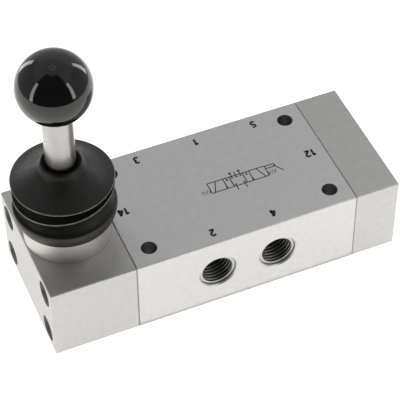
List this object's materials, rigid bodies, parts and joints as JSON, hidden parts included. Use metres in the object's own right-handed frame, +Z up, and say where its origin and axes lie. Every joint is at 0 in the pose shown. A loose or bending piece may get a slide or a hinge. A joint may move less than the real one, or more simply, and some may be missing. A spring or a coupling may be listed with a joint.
{
  "type": "hand lever air valve",
  "caption": "Spring-centred spool valve with a ball-topped hand lever in a rubber boot, threaded ports on two sides and through mounting holes.",
  "frame": {"origin": "centre of the valve body's underside, which is the centre of its four mounting holes", "axes": "+X along the spool away from the lever, +Y towards the side with ports 1, 3 and 5, +Z up through the lever knob"},
  "size_m": [0.1283, 0.05, 0.1081],
  "materials": {
    "housing_alloy": "bead-blasted natural anodised, satin",
    "turned_alloy": "fine turned, satin",
    "black_screws": "black oxide",
    "seal_rubber": "smooth nitrile rubber",
    "boot_rubber": "satin moulded rubber",
    "ground_steel": "ground, satin",
    "spring_steel": "drawn wire",
    "spool_alloy": "fine turned, hard anodised",
    "spacer_brass": "turned",
    "knob_plastic": "polished black phenolic",
    "insert_brass": "turned"
  },
  "bodies": {
    "housing": {"valve_body": "housing_alloy", "lever_block": "housing_alloy", "end_cap": "housing_alloy", "lever_block_screws": "black_screws", "end_cap_screws": "black_screws", "lever_block_seal": "seal_rubber", "end_cap_seal": "seal_rubber", "lever_collar": "turned_alloy", "pivot_pin": "ground_steel", "pivot_spacer_front": "spacer_brass", "pivot_spacer_rear": "spacer_brass", "dust_boot": "boot_rubber", "centring_spring_left": "spring_steel", "centring_spring_right": "spring_steel"},
    "lever": {"lever_rod": "ground_steel", "ball_knob": "knob_plastic", "knob_insert": "insert_brass"},
    "spool": {"spool": "spool_alloy", "spool_seal_1": "seal_rubber", "spool_seal_2": "seal_rubber", "spool_seal_3": "seal_rubber", "spool_seal_4": "seal_rubber", "spool_seal_5": "seal_rubber", "spool_seal_6": "seal_rubber"}
  },
  "joints": [
    {"name": "lever_tilt", "type": "hinge", "parent": "housing", "child": "lever", "pos_m": [-0.055, 0, 0.0275], "axis": [0, 1, 0], "range_deg": [-16, 16], "stiffness_Nm_per_rad": 1.5, "deforming": ["dust_boot"]},
    {"name": "spool_slide", "type": "slide", "parent": "housing", "child": "spool", "axis": [1, 0, 0], "range_m": [-0.0035, 0.0035], "deforming": ["centring_spring_left", "centring_spring_right"]}
  ],
  "couplings": [
    {"joint": "spool_slide", "follows": "lever_tilt", "m_per_rad": -0.01238}
  ]
}
